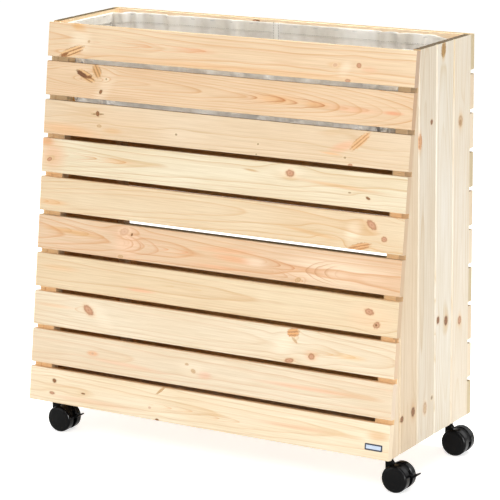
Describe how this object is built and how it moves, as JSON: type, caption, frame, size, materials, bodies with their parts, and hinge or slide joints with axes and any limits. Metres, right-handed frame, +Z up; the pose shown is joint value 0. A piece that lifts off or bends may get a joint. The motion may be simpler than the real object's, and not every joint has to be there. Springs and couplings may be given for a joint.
{
  "type": "rolling planter",
  "caption": "Raised floor planter of horizontal pine slats with a raking front, a lined tub at the top and four swivel casters, two with brake levers.",
  "frame": {"origin": "on the floor, in the middle of the footprint from the left wall to the tip of the right brake lever and from the bottom front edge to the back face, 22 mm to the right of the middle of the wooden body", "axes": "+X along the width, with the casters trailing towards it; +Y from the raking front to the back; +Z up"},
  "size_m": [1.044, 0.4227, 1.0096],
  "materials": {
    "pine_slats": "planed, unfinished",
    "pine_boards": "planed, unfinished",
    "pine_frame": "sawn and planed",
    "fleece": "non-woven, matte",
    "zinc_steel": "zinc plated",
    "wheel_nylon": "satin moulded",
    "housing_nylon": "satin moulded"
  },
  "bodies": {
    "root": {"front_slat_1": "pine_slats", "front_slat_2": "pine_slats", "front_slat_3": "pine_slats", "front_slat_4": "pine_slats", "front_slat_5": "pine_slats", "front_slat_6": "pine_slats", "front_slat_7": "pine_slats", "front_slat_8": "pine_slats", "front_slat_9": "pine_slats", "front_slat_10": "pine_slats", "back_slat_1": "pine_slats", "back_slat_2": "pine_slats", "back_slat_3": "pine_slats", "back_slat_4": "pine_slats", "back_slat_5": "pine_slats", "back_slat_6": "pine_slats", "back_slat_7": "pine_slats", "back_slat_8": "pine_slats", "back_slat_9": "pine_slats", "back_slat_10": "pine_slats", "left_board_1": "pine_boards", "left_board_2": "pine_boards", "left_board_3": "pine_boards", "left_board_4": "pine_boards", "left_board_5": "pine_boards", "right_board_1": "pine_boards", "right_board_2": "pine_boards", "right_board_3": "pine_boards", "right_board_4": "pine_boards", "right_board_5": "pine_boards", "front_left_post": "pine_frame", "front_right_post": "pine_frame", "back_left_post": "pine_frame", "back_right_post": "pine_frame", "left_base_rail": "pine_frame", "right_base_rail": "pine_frame", "tub_rails": "pine_frame", "shelf_boards": "pine_frame", "liner": "fleece", "wood_screws": "zinc_steel", "caster_nuts": "zinc_steel", "caster_stems": "zinc_steel"},
    "front_left_caster": {"front_left_housing": "housing_nylon", "front_left_axle": "zinc_steel"},
    "front_left_wheel_a": {"front_left_wheel_a": "wheel_nylon"},
    "front_left_wheel_b": {"front_left_wheel_b": "wheel_nylon"},
    "front_left_brake": {"front_left_brake": "housing_nylon"},
    "front_right_caster": {"front_right_housing": "housing_nylon", "front_right_axle": "zinc_steel"},
    "front_right_wheel_a": {"front_right_wheel_a": "wheel_nylon"},
    "front_right_wheel_b": {"front_right_wheel_b": "wheel_nylon"},
    "front_right_brake": {"front_right_brake": "housing_nylon"},
    "rear_left_caster": {"rear_left_housing": "housing_nylon", "rear_left_axle": "zinc_steel"},
    "rear_left_wheel_a": {"rear_left_wheel_a": "wheel_nylon"},
    "rear_left_wheel_b": {"rear_left_wheel_b": "wheel_nylon"},
    "rear_right_caster": {"rear_right_housing": "housing_nylon", "rear_right_axle": "zinc_steel"},
    "rear_right_wheel_a": {"rear_right_wheel_a": "wheel_nylon"},
    "rear_right_wheel_b": {"rear_right_wheel_b": "wheel_nylon"}
  },
  "joints": [
    {"name": "front_left_swivel", "type": "hinge", "parent": "root", "child": "front_left_caster", "pos_m": [-0.49, -0.1425, 0.075], "axis": [0, 0, 1], "continuous": true},
    {"name": "front_left_wheel_a_spin", "type": "hinge", "parent": "front_left_caster", "child": "front_left_wheel_a", "pos_m": [-0.466, -0.1605, 0.0325], "axis": [0, 1, 0], "continuous": true},
    {"name": "front_left_wheel_b_spin", "type": "hinge", "parent": "front_left_caster", "child": "front_left_wheel_b", "pos_m": [-0.466, -0.1245, 0.0325], "axis": [0, 1, 0], "continuous": true},
    {"name": "front_left_brake_press", "type": "hinge", "parent": "front_left_caster", "child": "front_left_brake", "pos_m": [-0.446, -0.1425, 0.0415], "axis": [0, 1, 0], "range_deg": [0, 20]},
    {"name": "front_right_swivel", "type": "hinge", "parent": "root", "child": "front_right_caster", "pos_m": [0.446, -0.1425, 0.075], "axis": [0, 0, 1], "continuous": true},
    {"name": "front_right_wheel_a_spin", "type": "hinge", "parent": "front_right_caster", "child": "front_right_wheel_a", "pos_m": [0.47, -0.1605, 0.0325], "axis": [0, 1, 0], "continuous": true},
    {"name": "front_right_wheel_b_spin", "type": "hinge", "parent": "front_right_caster", "child": "front_right_wheel_b", "pos_m": [0.47, -0.1245, 0.0325], "axis": [0, 1, 0], "continuous": true},
    {"name": "front_right_brake_press", "type": "hinge", "parent": "front_right_caster", "child": "front_right_brake", "pos_m": [0.49, -0.1425, 0.0415], "axis": [0, 1, 0], "range_deg": [0, 20]},
    {"name": "rear_left_swivel", "type": "hinge", "parent": "root", "child": "rear_left_caster", "pos_m": [-0.49, 0.1635, 0.075], "axis": [0, 0, 1], "continuous": true},
    {"name": "rear_left_wheel_a_spin", "type": "hinge", "parent": "rear_left_caster", "child": "rear_left_wheel_a", "pos_m": [-0.466, 0.1455, 0.0325], "axis": [0, 1, 0], "continuous": true},
    {"name": "rear_left_wheel_b_spin", "type": "hinge", "parent": "rear_left_caster", "child": "rear_left_wheel_b", "pos_m": [-0.466, 0.1815, 0.0325], "axis": [0, 1, 0], "continuous": true},
    {"name": "rear_right_swivel", "type": "hinge", "parent": "root", "child": "rear_right_caster", "pos_m": [0.446, 0.1635, 0.075], "axis": [0, 0, 1], "continuous": true},
    {"name": "rear_right_wheel_a_spin", "type": "hinge", "parent": "rear_right_caster", "child": "rear_right_wheel_a", "pos_m": [0.47, 0.1455, 0.0325], "axis": [0, 1, 0], "continuous": true},
    {"name": "rear_right_wheel_b_spin", "type": "hinge", "parent": "rear_right_caster", "child": "rear_right_wheel_b", "pos_m": [0.47, 0.1815, 0.0325], "axis": [0, 1, 0], "continuous": true}
  ]
}
